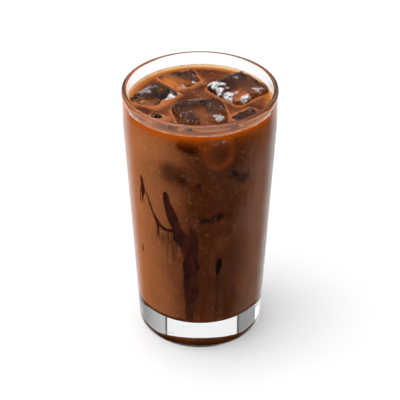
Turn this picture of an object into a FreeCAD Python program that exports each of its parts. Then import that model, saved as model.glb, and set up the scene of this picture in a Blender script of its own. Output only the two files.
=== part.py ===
"""Iced coffee in a clear tumbler, with ice cubes floating at the top.

Millimetres, +Z up. The origin is the centre of the foot, on the surface that the glass stands on.
"""
import FreeCAD, Part
import math
import os

from FreeCAD import Placement, Rotation, Vector

# Glass, outside
HEIGHT = 148.0  # foot to lip
RIM_RADIUS = 41.0  # over the bead
BEAD_SWELL = 0.25  # how far the bead stands out from the neck below it
BEAD_HEIGHT = 3.6  # lip to neck
BEAD_SLOPE = 1.3  # height over which the neck swells to the bead
RIM_BAND = 20.0  # upright part of the wall below the lip
HEEL_RADIUS = 34.22  # where the tapered wall turns in to the foot
HEEL_HEIGHT = 3.0
FOOT_RADIUS = 31.4  # corner of the foot before it is rounded
RECESS_RADIUS = 24.0  # flat recess under the base, out to where its slope meets the foot
RECESS_SLOPE = 2.2  # width of that slope
RECESS_RISE = 0.15

# Glass, inside
LIP_THICKNESS = 2.5
WALL = 3.1  # wall thickness just above the base
BASE = 17.5  # thickness of the base, up to the inner floor
FLOOR_ROUND = 5.0  # inner corner between wall and floor

# Rounding of the glass profile
LIP_FLAT = 0.1  # left level on top of the lip, between its two roundings
BEAD_ROUND = 2.0
NECK_ROUND = 4.0
SHOULDER_ROUND = 200.0
HEEL_ROUND = 4.0
FOOT_ROUND = 3.0
RECESS_ROUND = 6.0

# Drink
FREEBOARD = 7.7  # lip down to the drink's surface
MENISCUS_RISE = 0.9  # how far the drink climbs the wall
MENISCUS_WIDTH = 2.4

# Ice
ICE_WALL_GAP = 0.8  # drink left between ice and glass
ICE_GAP = 0.8  # drink left between two cubes
ICE_DRAFT = 0.94  # a cube's base as a share of its top, as a tray leaves it
DISH_RADIUS = 6.0  # shallow hollow melted into a cube's top
DISH_DEPTH = 0.5

# Each cube: compass bearing of its centre (degrees from +X), wall to centre, depth of the centre
# under the surface, edge lengths, edge rounding, and turn about Z, Y and X in degrees.
ICE = {
    "ice_back_left": (116.5, 15.0, 8.6, (22.5, 19.0, 20.0), 4.5, (27.0, 2.0, 3.0)),
    "ice_left": (172.0, 14.3, 9.3, (25.0, 21.0, 22.0), 4.5, (50.0, -2.0, 11.0)),
    "ice_front": (-88.5, 21.6, 8.6, (29.0, 28.0, 26.0), 9.0, (12.0, 2.0, 8.0)),
    "ice_right": (27.0, 15.4, 8.4, (27.0, 26.5, 24.0), 4.5, (42.0, 2.0, 3.0)),
    "ice_front_left": (-137.0, 9.8, 6.7, (13.5, 11.0, 14.0), 3.5, (-12.0, 6.0, 20.0)),
    "ice_front_right": (-36.0, 9.2, 5.6, (17.5, 11.0, 13.0), 3.5, (40.0, 0.0, 3.0)),
}

FULL_TURN = 360.0
AXIS = Vector(0, 0, 1)
ORIGIN = Vector(0, 0, 0)

LEVEL = HEIGHT - FREEBOARD
SHOULDER_HEIGHT = HEIGHT - RIM_BAND
NECK_RADIUS = RIM_RADIUS - BEAD_SWELL
LIP_INNER_RADIUS = RIM_RADIUS - LIP_THICKNESS
LIP_ROUND = (LIP_THICKNESS - LIP_FLAT) / 2


def between(start, end, height):
    """Radius at a height on the straight line through two (radius, height) points."""
    share = (height - start[1]) / (end[1] - start[1])
    return start[0] + (end[0] - start[0]) * share


def outer_radius(height):
    """Radius of the tapered outside wall."""
    return between((HEEL_RADIUS, HEEL_HEIGHT), (NECK_RADIUS, SHOULDER_HEIGHT), height)


FLOOR_RADIUS = outer_radius(BASE) - WALL


def cavity_radius(height):
    """Radius of the inside wall."""
    return between((FLOOR_RADIUS, BASE), (LIP_INNER_RADIUS, HEIGHT), height)


def at(radius, height):
    """Point of a profile in the XZ plane."""
    return Vector(radius, 0, height)


def rounded_corner(before, corner, after, radius):
    """Arc of the given radius that touches both sides of a corner."""
    to_before = (before - corner).normalize()
    to_after = (after - corner).normalize()
    half_angle = to_before.getAngle(to_after) / 2
    reach = radius / math.tan(half_angle)
    bisector = (to_before + to_after).normalize()
    centre = corner + bisector * (radius / math.sin(half_angle))
    start = corner + to_before * reach
    end = corner + to_after * reach
    return Part.Arc(start, centre - bisector * radius, end)


def rounded_line(stations):
    """Edges of a line through (radius, height, rounding) stations, with its corners rounded."""
    points = [at(radius, height) for radius, height, _ in stations]
    edges = []
    here = points[0]
    for index in range(1, len(points) - 1):
        rounding = stations[index][2]
        if rounding == 0:
            edges.append(Part.LineSegment(here, points[index]).toShape())
            here = points[index]
            continue
        arc = rounded_corner(points[index - 1], points[index], points[index + 1], rounding)
        edges.append(Part.LineSegment(here, arc.StartPoint).toShape())
        edges.append(arc.toShape())
        here = arc.EndPoint
    edges.append(Part.LineSegment(here, points[-1]).toShape())
    return edges


def revolved(edges):
    """Solid turned from a closed profile in the XZ plane."""
    return Part.Face(Part.Wire(Part.__sortEdges__(edges))).revolve(ORIGIN, AXIS, FULL_TURN)


def make_glass():
    """Tumbler with a thick base, a shallow recess under it, and a beaded lip."""
    bead_bottom = HEIGHT - BEAD_HEIGHT
    outline = [
        (0, RECESS_RISE, 0),
        (RECESS_RADIUS - RECESS_SLOPE, RECESS_RISE, RECESS_ROUND),
        (RECESS_RADIUS, 0, RECESS_ROUND),
        (FOOT_RADIUS, 0, FOOT_ROUND),
        (HEEL_RADIUS, HEEL_HEIGHT, HEEL_ROUND),
        (NECK_RADIUS, SHOULDER_HEIGHT, SHOULDER_ROUND),
        (NECK_RADIUS, bead_bottom, NECK_ROUND),
        (RIM_RADIUS, bead_bottom + BEAD_SLOPE, BEAD_ROUND),
        (RIM_RADIUS, HEIGHT, LIP_ROUND),
        (LIP_INNER_RADIUS, HEIGHT, LIP_ROUND),
        (FLOOR_RADIUS, BASE, FLOOR_ROUND),
        (0, BASE, 0),
    ]
    closing = Part.LineSegment(at(0, BASE), at(0, RECESS_RISE)).toShape()
    return revolved(rounded_line(outline) + [closing])


def meniscus_edge():
    """Curve from the level surface up to the line where the drink meets the wall."""
    wall_point = at(cavity_radius(LEVEL + MENISCUS_RISE), LEVEL + MENISCUS_RISE)
    level_point = at(wall_point.x - MENISCUS_WIDTH, LEVEL)
    chord = wall_point - level_point
    radius = chord.Length**2 / (2 * MENISCUS_RISE)
    half_angle = math.asin(MENISCUS_WIDTH / radius) / 2
    middle = level_point + Vector(
        radius * math.sin(half_angle), 0, radius * (1 - math.cos(half_angle))
    )
    return Part.Arc(level_point, middle, wall_point)


def make_drink():
    """Coffee from the inner floor up to its surface, before the ice takes its room."""
    meniscus = meniscus_edge()
    wall_point = meniscus.EndPoint
    edges = rounded_line(
        [
            (wall_point.x, wall_point.z, 0),
            (FLOOR_RADIUS, BASE, FLOOR_ROUND),
            (0, BASE, 0),
        ]
    )
    edges.append(Part.LineSegment(at(0, BASE), at(0, LEVEL)).toShape())
    edges.append(Part.LineSegment(at(0, LEVEL), meniscus.StartPoint).toShape())
    edges.append(meniscus.toShape())
    return revolved(edges)


def rectangle(length, width, height):
    """Closed rectangle centred on Z at a height."""
    x, y = length / 2, width / 2
    corners = [Vector(-x, -y, height), Vector(x, -y, height), Vector(x, y, height), Vector(-x, y, height)]
    return Part.makePolygon(corners + corners[:1])


def dished_cube(length, width, height, rounding):
    """Tray cube centred on the origin: drafted sides, rounded edges and a shallow dish on top."""
    base = rectangle(length * ICE_DRAFT, width * ICE_DRAFT, -height / 2)
    top = rectangle(length, width, height / 2)
    block = Part.makeLoft([base, top], True, True)
    block = block.makeFillet(rounding, block.Edges)
    sphere = (DISH_RADIUS**2 + DISH_DEPTH**2) / (2 * DISH_DEPTH)
    dish = Part.makeSphere(sphere, Vector(0, 0, height / 2 - DISH_DEPTH + sphere))
    return block.cut(dish)


def ice_centre(name):
    """Centre of a cube, set in from the wall at the level of the drink."""
    bearing, inset, depth = ICE[name][:3]
    reach = cavity_radius(LEVEL) - inset
    angle = math.radians(bearing)
    return Vector(reach * math.cos(angle), reach * math.sin(angle), LEVEL - depth)


def plan_size(name):
    """Mean of a cube's two horizontal edges."""
    length, width, _ = ICE[name][3]
    return (length + width) / 2


def half_space(limit, outward):
    """Large block on the inner side of an upright plane through limit."""
    size = 4 * HEIGHT
    block = Part.makeBox(size, size, size, Vector(-size, -size / 2, -size / 2))
    return block.transformed(Placement(limit, Rotation(Vector(1, 0, 0), outward)).toMatrix())


def room_between_neighbours(shape, name):
    """Cuts a cube back to its own side of the middle plane to each other cube."""
    centre = ice_centre(name)
    for other in ICE:
        if other == name:
            continue
        across = ice_centre(other) - centre
        across.z = 0
        share = plan_size(name) / (plan_size(name) + plan_size(other))
        outward = Vector(across).normalize()
        limit = centre + across * share - outward * (ICE_GAP / 2)
        shape = shape.common(half_space(limit, outward))
    return shape


def cavity_with_gap():
    """Space inside the glass, less the gap that ice keeps from the wall."""
    return Part.makeCone(
        FLOOR_RADIUS - ICE_WALL_GAP,
        LIP_INNER_RADIUS - ICE_WALL_GAP,
        HEIGHT - BASE,
        Vector(0, 0, BASE),
    )


def make_ice(name):
    """One floating cube, turned, placed and kept clear of the wall and the other cubes."""
    _, _, _, edges, rounding, turn = ICE[name]
    cube = dished_cube(*edges, rounding)
    cube = cube.transformed(Placement(ice_centre(name), Rotation(*turn)).toMatrix())
    cube = cube.common(cavity_with_gap())
    return room_between_neighbours(cube, name)


def single_solid(shape):
    """The one solid that a shape holds."""
    solid, = shape.Solids
    return solid


def make_parts():
    """Every piece by the name of its node."""
    parts = {"glass": make_glass()}
    cubes = {name: make_ice(name) for name in ICE}
    parts["coffee"] = make_drink().cut(list(cubes.values()))
    parts.update(cubes)
    return {name: single_solid(shape) for name, shape in parts.items()}


def main():
    os.makedirs("parts", exist_ok=True)
    for name, shape in make_parts().items():
        shape.exportStep(f"parts/{name}.step")
        print(f"{name}: valid {shape.isValid()}, {shape.Volume / 1000:.1f} cm3")


main()
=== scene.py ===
"""Iced coffee in a clear tumbler: ice afloat, syrup running down the wall, mist on the outside.

Metres, +Z up. The origin is the centre of the tumbler's foot, on the surface it stands on.
"""
import math

import bpy
import numpy as np
from bpy.props import FloatProperty, FloatVectorProperty, IntProperty, PointerProperty
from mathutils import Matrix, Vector


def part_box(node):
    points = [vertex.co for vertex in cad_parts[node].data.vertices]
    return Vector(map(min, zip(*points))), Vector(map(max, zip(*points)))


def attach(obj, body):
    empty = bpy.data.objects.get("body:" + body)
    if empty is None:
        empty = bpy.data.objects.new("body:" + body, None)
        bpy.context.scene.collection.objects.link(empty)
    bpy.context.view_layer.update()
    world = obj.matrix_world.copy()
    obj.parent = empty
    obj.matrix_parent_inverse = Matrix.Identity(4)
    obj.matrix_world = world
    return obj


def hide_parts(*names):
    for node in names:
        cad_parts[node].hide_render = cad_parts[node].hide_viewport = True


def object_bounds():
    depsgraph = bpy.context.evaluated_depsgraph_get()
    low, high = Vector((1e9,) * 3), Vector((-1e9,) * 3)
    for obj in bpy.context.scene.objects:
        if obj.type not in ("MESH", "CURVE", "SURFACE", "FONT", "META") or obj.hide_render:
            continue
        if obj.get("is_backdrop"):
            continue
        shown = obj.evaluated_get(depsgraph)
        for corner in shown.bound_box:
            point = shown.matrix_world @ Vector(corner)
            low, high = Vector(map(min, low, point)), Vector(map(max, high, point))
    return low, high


bl_info = {
    "name": "Iced Coffee Maker",
    "version": (1, 0, 0),
    "blender": (4, 5, 0),
    "location": "View3D > Sidebar > Iced Coffee",
    "description": "Makes a tumbler of iced coffee piece by piece around a fixed model",
    "category": "Add Mesh",
}

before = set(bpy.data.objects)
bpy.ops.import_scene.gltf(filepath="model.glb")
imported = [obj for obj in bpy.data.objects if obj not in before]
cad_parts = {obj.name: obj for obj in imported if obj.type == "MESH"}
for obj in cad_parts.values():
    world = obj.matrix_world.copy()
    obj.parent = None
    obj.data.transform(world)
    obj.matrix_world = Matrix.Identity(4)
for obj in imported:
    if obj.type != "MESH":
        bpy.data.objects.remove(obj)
CAD_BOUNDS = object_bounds()
LIP_HEIGHT = CAD_BOUNDS[1][2]
RIM_REACH = CAD_BOUNDS[1][0]
COFFEE_LOW, COFFEE_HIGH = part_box("coffee")
BODY = "root"

MM = 0.001
TURN = 2 * math.pi
UP = np.array([0.0, 0.0, 1.0])


def linear(red, green, blue):
    """Linear light of a screen colour given as three numbers from 0 to 255."""
    parts = np.array([red, green, blue]) / 255
    bright = ((parts + 0.055) / 1.055) ** 2.4
    return tuple(float(part) for part in np.where(parts <= 0.04045, parts / 12.92, bright))


def length(name, description, default):
    """A length that a user can change."""
    return FloatProperty(name=name, description=description, default=default, unit="LENGTH", precision=5)


def colour(name, description, default):
    """A colour that a user can change."""
    return FloatVectorProperty(
        name=name, description=description, default=default, subtype="COLOR", min=0, max=1
    )


def share(name, description, default):
    """A number from 0 to 1 that a user can change."""
    return FloatProperty(name=name, description=description, default=default, min=0, max=1)


# Settings


class TumblerSettings(bpy.types.PropertyGroup):
    """Sizes and tint of the glass."""

    height: length("Height", "Foot to lip", LIP_HEIGHT)
    rim_radius: length("Rim radius", "Over the bead of the lip", RIM_REACH)
    bead_swell: length("Bead swell", "How far the bead stands out from the neck", 0.25 * MM)
    bead_height: length("Bead height", "Lip down to the neck", 3.6 * MM)
    bead_slope: length("Bead slope", "Height over which the neck swells", 1.3 * MM)
    rim_band: length("Rim band", "Upright part of the wall below the lip", 20 * MM)
    heel_radius: length("Heel radius", "Where the wall turns in to the foot", 34.22 * MM)
    heel_height: length("Heel height", "Height of that turn", 3.0 * MM)
    foot_radius: length("Foot radius", "Corner of the foot before it is rounded", 31.4 * MM)
    recess_radius: length("Recess radius", "Flat recess under the base", 24 * MM)
    recess_slope: length("Recess slope", "Width of the slope round the recess", 2.2 * MM)
    recess_rise: length("Recess rise", "Depth of the recess", 0.15 * MM)
    lip_thickness: length("Lip thickness", "Wall at the lip", 2.5 * MM)
    wall: length("Wall", "Wall just above the base", 3.1 * MM)
    base: length("Base", "Thickness of the base", COFFEE_LOW[2])
    floor_round: length("Floor rounding", "Inner corner of wall and floor", 5 * MM)
    segments: IntProperty(name="Segments", description="Facets round the glass", default=288)
    tint: colour("Tint", "Colour of the glass", (0.975, 0.985, 0.98))


class DrinkSettings(bpy.types.PropertyGroup):
    """Level and colours of the coffee."""

    meniscus_rise: length("Meniscus rise", "How far the drink climbs the wall", 0.9 * MM)
    meniscus_width: length("Meniscus width", "Width of that climb", 2.4 * MM)
    ice_rise: length("Rise at ice", "How far the drink climbs the ice", 0.45 * MM)
    ice_reach: length("Reach at ice", "Width of that climb", 0.9 * MM)
    bite: length("Bite", "How far the drink reaches into the glass and the ice", 0.12 * MM)
    # The drink goes towards this partly by milk and partly as painted light, most on the lit left side.
    milky: colour("Milky", "Where more milk has mixed in", linear(200, 120, 72))
    dark: colour("Dark", "Where more coffee shows", linear(76, 31, 8))
    # Also the top of the painted light band under the waterline, and the colour of pale specks that are
    # painted highlights.
    edge: colour("Edge", "Thin drink at the waterline", linear(232, 200, 156))
    # Painted light: the orange of light that comes in through the open surface, on the wall under the
    # waterline and near the top of the hollows under the ice.
    lit_amber: colour("Amber", "Under the waterline, through the glass", linear(206, 88, 12))
    # Mixed in at the waterline ring, where the drink is thin, and more towards the back as painted light.
    tan: colour("Tan", "On the open surface, a little in from the waterline", linear(164, 88, 22))
    # Painted shade: the drink darkens to this in the hollows under the floating ice.
    hollow: colour("Hollow", "Under clear ice", linear(150, 76, 30))
    # Painted glow: the drink in the hollows under the ice gives this off as light, though it is no lamp.
    painted_glow: colour("Glow", "Light that comes up through the drink under clear ice", (0.42, 0.16, 0.03))
    # Also painted shade: the dark places in the hollows under the ice take this colour.
    deep: colour("Deep", "Where no milk shows at all", linear(34, 9, 3))
    bubbles: IntProperty(name="Bubbles", description="Number of bubbles at the waterline", default=420)


class IceSettings(bpy.types.PropertyGroup):
    """Shape and finish of the ice."""

    wall_gap: length("Wall gap", "Drink left between ice and glass", 0.8 * MM)
    ice_gap: length("Ice gap", "Drink left between two cubes", 0.8 * MM)
    draft: share("Draft", "A cube's base as a share of its top", 0.94)
    crispness: share("Crispness", "Rounding left on the edges, as a share of the tray's", 0.72)
    lump: length("Lumps", "How far melting has dented the cubes", 0.28 * MM)
    crinkle: length("Crinkle", "Fine melt marks along the edges", 0.13 * MM)
    # Also the colour of the painted glints along the edges of the floating cubes.
    frost: colour("Frost", "Frost and trapped air", (0.86, 0.86, 0.88))


class SyrupSettings(bpy.types.PropertyGroup):
    """Syrup that runs down inside the wall."""

    thickness: length("Thickness", "Half thickness of a run", 0.3 * MM)
    syrup: colour("Syrup", "Colour of the syrup", linear(44, 16, 9))


class MistSettings(bpy.types.PropertyGroup):
    """Mist and drops on the outside of the glass."""

    drops: IntProperty(name="Drops", description="Number of drops", default=4000)
    smallest: length("Smallest drop", "Radius of the smallest drops", 0.10 * MM)
    largest: length("Largest drop", "Radius of the largest drops", 0.42 * MM)
    film: share("Film", "How strongly the mist shows", 0.16)


class StageSettings(bpy.types.PropertyGroup):
    """Floor, lights and camera."""

    elevation: FloatProperty(
        name="Elevation", description="Camera above level", default=math.radians(33.47), subtype="ANGLE"
    )
    distance: length("Distance", "Camera to the axis of the glass", 829 * MM)
    aim_height: length("Aim height", "Height that the camera aims over", 77.7 * MM)
    stand_height: length("Stand height", "Height that the distance is measured from", 73.5 * MM)
    lens: FloatProperty(name="Lens", description="Focal length in millimetres", default=136.3)
    floor: colour("Floor", "Colour of the floor", (0.95, 0.95, 0.95))
    floor_reach: length("Floor reach", "Half the width of the floor", 0.55)
    air_gap: length("Air gap", "Floor below the foot, so that the foot mirrors from inside", 0.05 * MM)


SETTINGS = {
    "iced_tumbler": TumblerSettings,
    "iced_drink": DrinkSettings,
    "iced_ice": IceSettings,
    "iced_syrup": SyrupSettings,
    "iced_mist": MistSettings,
    "iced_stage": StageSettings,
}

# Each floating cube: compass bearing of its centre, wall to centre, depth of the centre under the
# surface, edge lengths, edge rounding (millimetres), and turn about Z, Y and X (degrees).
ICE = {
    "ice_back_left": (116.5, 15.0, 8.6, (22.5, 19.0, 20.0), 4.5, (27.0, 2.0, 3.0)),
    "ice_left": (172.0, 14.3, 9.3, (25.0, 21.0, 22.0), 4.5, (50.0, -2.0, 11.0)),
    "ice_front": (-88.5, 21.6, 8.6, (29.0, 28.0, 26.0), 9.0, (12.0, 2.0, 8.0)),
    "ice_right": (27.0, 15.4, 8.4, (27.0, 26.5, 24.0), 4.5, (42.0, 2.0, 3.0)),
    "ice_front_left": (-137.0, 9.8, 6.7, (13.5, 11.0, 14.0), 3.5, (-12.0, 6.0, 20.0)),
    "ice_front_right": (-36.0, 9.2, 5.6, (17.5, 11.0, 13.0), 3.5, (40.0, 0.0, 3.0)),
}

# Sunk cubes near the wall: bearing, height of the centre, edge lengths, turn about Z, Y, X. Only
# the first reaches the wall and shows through it.
SUNK_ICE = {
    "under_lip": (-74.0, 131.6, (18.5, 9.0, 15.0), (6.0, 0.0, 6.0)),
    "upper_middle": (-101.0, 131.0, (13.0, 10.0, 12.0), (-20.0, 8.0, 4.0)),
    "large_left": (-112.5, 115.0, (19.0, 14.0, 17.0), (-18.0, 5.0, 10.0)),
    "right": (-58.5, 118.5, (13.5, 12.0, 15.0), (28.0, -14.0, 6.0)),
    "lower_right": (-79.5, 97.5, (17.0, 14.0, 15.5), (8.0, 9.0, -6.0)),
    "back": (74.0, 112.0, (18.0, 15.0, 17.0), (-10.0, 12.0, 5.0)),
    "far_left": (171.0, 106.0, (16.0, 14.0, 16.0), (5.0, 8.0, 12.0)),
}

# How far a sunk cube stands past the inside wall, and how far past it the cube is cut off: for the
# cube that shows, and for those that the drink hides.
SUNK_SHOWN = (1.1 * MM, 0.3 * MM)
SUNK_HIDDEN = (-1.4 * MM, -0.4 * MM)

# Soft ring on the wall round the cube that shows: bearing, height, radius, half width, how light.
UNDER_LIP_RING = (-75.0, 130.5 * MM, 6.8 * MM, 2.3 * MM, 0.17)

# Darker places on the wall, where sunk ice lets no milk show: bearing, height, half width and half
# height (degrees and millimetres), lean in degrees, softness of the outline, and how dark.
DARK_PATCHES = (
    (-99.5, 134.6, 9.0, 3.8, -18.0, 0.35, 1.0),
    (-112.0, 117.0, 12.5, 6.0, -8.0, 0.5, 0.62),
    (-116.5, 119.0, 3.6, 3.0, 10.0, 0.5, 0.7),
    (-103.6, 114.6, 5.0, 2.0, -30.0, 0.5, 0.75),
    (-62.5, 116.5, 3.6, 3.6, 30.0, 0.5, 0.9),
    (-55.0, 112.0, 6.6, 3.4, -18.0, 0.5, 0.75),
    (-89.8, 111.2, 2.2, 1.3, 0.0, 0.6, 0.7),
    (-85.5, 88.3, 5.8, 1.7, -12.0, 0.5, 1.0),
    (-74.5, 90.4, 6.0, 2.0, 24.0, 0.5, 1.0),
    (-91.0, 90.6, 1.4, 0.9, 0.0, 0.6, 0.5),
    (-148.3, 59.0, 0.9, 2.6, 0.0, 0.6, 0.45),
    (76.0, 113.0, 11.0, 6.5, 12.0, 0.55, 0.5),
    (170.0, 107.0, 10.0, 6.5, -14.0, 0.55, 0.45),
    (34.0, 122.0, 8.0, 4.0, 20.0, 0.5, 0.5),
)

# How light the drink is (0 to 1) at bearings round the glass: partly milky, partly painted light, lightest
# on the lit left side.
MILK_AND_LIGHT_ROUND = (
    (-180, 0.95), (-152, 0.9), (-140, 0.6), (-127, 0.44), (-114, 0.26), (-100, 0.1), (-88, 0.0),
    (-65, 0.0), (-55, 0.1), (-42, 0.28), (-30, 0.45), (-15, 0.5), (20, 0.4), (60, 0.3), (130, 0.5),
    (180, 0.95),
)

# Paler places on the wall, where milk has gathered: the same numbers as for the darker places.
PALE_PATCHES = (
    (-135.0, 138.0, 12.0, 2.6, 8.0, 0.6, 0.75),
    (-126.0, 131.0, 20.0, 9.0, 0.0, 0.8, 2.2),
    (-140.0, 100.0, 26.0, 34.0, 0.0, 0.7, 0.55),
    (-128.0, 50.0, 22.0, 30.0, 0.0, 0.8, 0.3),
    (150.0, 90.0, 30.0, 40.0, 0.0, 0.8, 0.35),
    (60.0, 70.0, 22.0, 34.0, 0.0, 0.8, 0.3),
)

# Runs of syrup, each a line of points down the wall: bearing, height, half width in millimetres.
SYRUP_RUNS = {
    "main": (
        (-118.6, 105.4, 0.5), (-118.3, 102.5, 2.0), (-117.6, 99.0, 2.9), (-114.8, 93.0, 3.2),
        (-111.5, 86.5, 3.1), (-108.6, 81.0, 3.6), (-104.6, 76.5, 5.6), (-101.0, 72.5, 5.8),
        (-98.6, 66.5, 5.0), (-97.7, 58.0, 4.5), (-97.6, 48.0, 4.4), (-98.2, 38.0, 4.0),
        (-99.2, 28.0, 3.0), (-100.0, 19.5, 1.6),
    ),
    "main_bump": (
        (-97.0, 84.0, 0.4), (-96.4, 82.4, 1.6), (-95.6, 79.0, 2.6), (-95.0, 73.0, 2.6),
        (-94.4, 66.0, 1.8), (-93.8, 58.0, 0.8), (-93.6, 52.0, 0.2),
    ),
    "branch": (
        (-131.4, 88.0, 0.3), (-128.4, 84.8, 0.9), (-124.4, 81.6, 1.5), (-119.6, 80.2, 1.7),
        (-114.6, 80.4, 2.0), (-110.0, 80.0, 2.0), (-106.0, 78.0, 1.0),
    ),
    "blob": (
        (-143.6, 109.0, 0.3), (-142.6, 106.0, 1.5), (-142.2, 102.6, 1.9), (-142.2, 99.4, 1.9),
        (-143.0, 96.0, 1.0), (-143.8, 92.0, 0.2),
    ),
    "thin_left": ((-145.4, 99.6, 0.2), (-146.0, 97.0, 0.45), (-146.8, 93.0, 0.4), (-147.0, 90.0, 0.1)),
    "thin_right": (
        (-138.6, 100.4, 0.3), (-136.6, 97.0, 0.6), (-132.8, 90.0, 0.8), (-129.6, 85.6, 1.0),
        (-127.4, 81.0, 0.9), (-127.0, 76.0, 0.6), (-127.0, 71.5, 0.2),
    ),
    "drop": (
        (-73.2, 63.4, 0.3), (-73.4, 60.6, 1.7), (-73.6, 57.6, 1.9), (-74.4, 54.0, 1.3),
        (-75.0, 50.5, 0.6), (-75.3, 42.0, 0.4), (-75.2, 30.0, 0.35), (-74.9, 20.5, 0.15),
    ),
    "tick": ((-147.8, 61.6, 0.1), (-148.2, 59.0, 0.5), (-148.8, 56.2, 0.1)),
    "behind": (
        (70.0, 100.0, 0.3), (71.0, 95.0, 1.6), (73.0, 85.0, 2.0), (72.0, 70.0, 2.8),
        (70.0, 55.0, 2.2), (69.5, 40.0, 1.2), (69.0, 28.0, 0.2),
    ),
    "behind_thin": ((118.0, 92.0, 0.2), (117.5, 86.0, 1.0), (118.5, 74.0, 0.8), (119.0, 60.0, 0.2)),
    "right_side": ((8.0, 84.0, 0.2), (8.6, 79.0, 1.3), (8.2, 70.0, 1.1), (8.0, 52.0, 0.2)),
}

# Thin streaks that hang from the syrup: first and last bearing, lowest and highest start, shortest
# and longest drop, widest half width (millimetres), and how many.
STREAKS = (
    (-129.0, -112.0, 78.0, 81.0, 4.0, 16.0, 0.45, 11),
    (-122.0, -106.0, 72.0, 80.0, 8.0, 22.0, 0.5, 8),
    (-104.5, -93.5, 58.0, 74.0, 26.0, 50.0, 0.55, 14),
    (-145.0, -140.5, 94.0, 98.0, 4.0, 10.0, 0.35, 4),
    (-75.8, -72.5, 50.0, 56.0, 8.0, 30.0, 0.3, 3),
)
STREAK_END = 19.5  # lowest height that a streak reaches


def streaks():
    """Stations of every thin streak, spread at random between the limits of its row."""
    random = np.random.default_rng(5)
    for first, last, low, high, short, long, widest, count in STREAKS:
        for bearing in np.linspace(first, last, count) + random.normal(0, 0.5, count):
            top = random.uniform(low, high)
            drop = min(random.uniform(short, long), top - STREAK_END)
            width = random.uniform(0.35, 1.0) * widest
            bend = random.normal(0, 0.35)
            yield (
                (bearing, top, 0.1), (bearing + 0.3 * bend, top - 0.25 * drop, width),
                (bearing + 0.7 * bend, top - 0.65 * drop, 0.7 * width), (bearing + bend, top - drop, 0.05),
            )


# Frost on the floating cubes: cube, direction of the spot from the centre (compass bearing and
# elevation in degrees), half angle that it covers, and how strong it is.
FROST = (
    ("ice_right", -174.0, 49.0, 13.0, 1.0),
    ("ice_right", -148.0, 46.0, 9.0, 0.9),
    ("ice_right", -116.0, 44.0, 12.0, 1.0),
    ("ice_right", -74.0, 41.0, 9.0, 0.95),
    ("ice_right", 100.0, 62.0, 6.0, 0.4),
    ("ice_right", -20.0, 46.0, 8.0, 0.5),
    ("ice_left", -8.0, 50.0, 11.0, 1.0),
    ("ice_left", -24.0, 49.0, 12.0, 1.0),
    ("ice_left", 150.0, 60.0, 22.0, 0.35),
    ("ice_front", -37.0, 44.0, 9.0, 0.55),
    ("ice_front", 100.0, 50.0, 18.0, 0.25),
    ("ice_back_left", -80.0, 46.0, 9.0, 0.3),
    ("ice_back_left", -20.0, 48.0, 6.0, 0.7),
    ("ice_front_left", 40.0, 60.0, 18.0, 0.4),
)

# Spots of painted light and painted shade seen down through the floating cubes: cube, place in plan on
# its top and radius (millimetres), and how light (above 0) or dark (below 0).
PAINTED_SPOTS_UNDER_ICE = (
    ("ice_back_left", -18.0, 18.6, 4.4, 1.0),
    ("ice_back_left", -12.5, 17.5, 4.6, 0.62),
    ("ice_back_left", -14.0, 12.5, 4.0, 0.3),
    ("ice_back_left", -5.5, 15.0, 5.0, 0.2),
    ("ice_back_left", -8.0, 9.0, 3.4, -0.5),
    ("ice_back_left", -3.5, 19.0, 3.0, -0.4),
    ("ice_left", -29.8, -3.0, 3.8, 0.42),
    ("ice_left", -25.6, 0.4, 2.2, 0.25),
    ("ice_left", -21.0, 9.9, 2.2, 0.22),
    ("ice_left", -21.2, 2.6, 4.2, -1.0),
    ("ice_left", -18.0, 8.0, 4.6, -0.9),
    ("ice_left", -31.0, 0.0, 4.0, 0.15),
    ("ice_front", -0.5, -14.0, 4.6, 0.28),
    ("ice_front", 5.0, -13.0, 3.4, -0.35),
    ("ice_front", 3.0, -20.5, 4.0, 0.2),
    ("ice_front", -6.0, -24.0, 4.6, -0.85),
    ("ice_front", 4.5, -26.0, 4.0, -0.6),
    ("ice_front", -10.0, -17.0, 3.2, -0.4),
    ("ice_front", 1.0, -5.0, 3.4, -0.6),
    ("ice_right", 22.0, 5.0, 3.8, 0.5),
    ("ice_right", 21.0, 1.5, 2.6, 0.3),
    ("ice_right", 30.5, 3.0, 3.2, 0.5),
    ("ice_right", 33.0, 0.0, 3.0, 0.45),
    ("ice_right", 31.0, -6.0, 3.2, 0.3),
    ("ice_right", 12.5, 15.5, 4.0, -0.5),
    ("ice_right", 23.0, 21.0, 4.0, -0.35),
    ("ice_right", 26.0, -4.5, 3.4, -0.5),
    ("ice_right", 16.5, 6.0, 3.4, -0.25),
    ("ice_front_left", -20.0, -21.0, 3.0, -0.6),
    ("ice_front_right", 14.0, -25.0, 3.6, -0.3),
    ("ice_front_right", 22.0, -22.0, 3.6, -0.4),
)

# Way of the light seen through a floating cube's top, once the ice has bent it.
THROUGH_ICE = (0.0, 0.636, -0.771)

# Mean radius of the inside wall, and what a degree is round it (millimetres).
WALL_REACH = 36 * MM
DEGREE_ROUND = 0.63

# Lowest and highest mist, and drops of water (the drops in millimetres).
MIST_FOOT = 13 * MM
MIST_TOP = 139 * MM
DROP_HEIGHTS = (14, 136)


# Shapes


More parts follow.
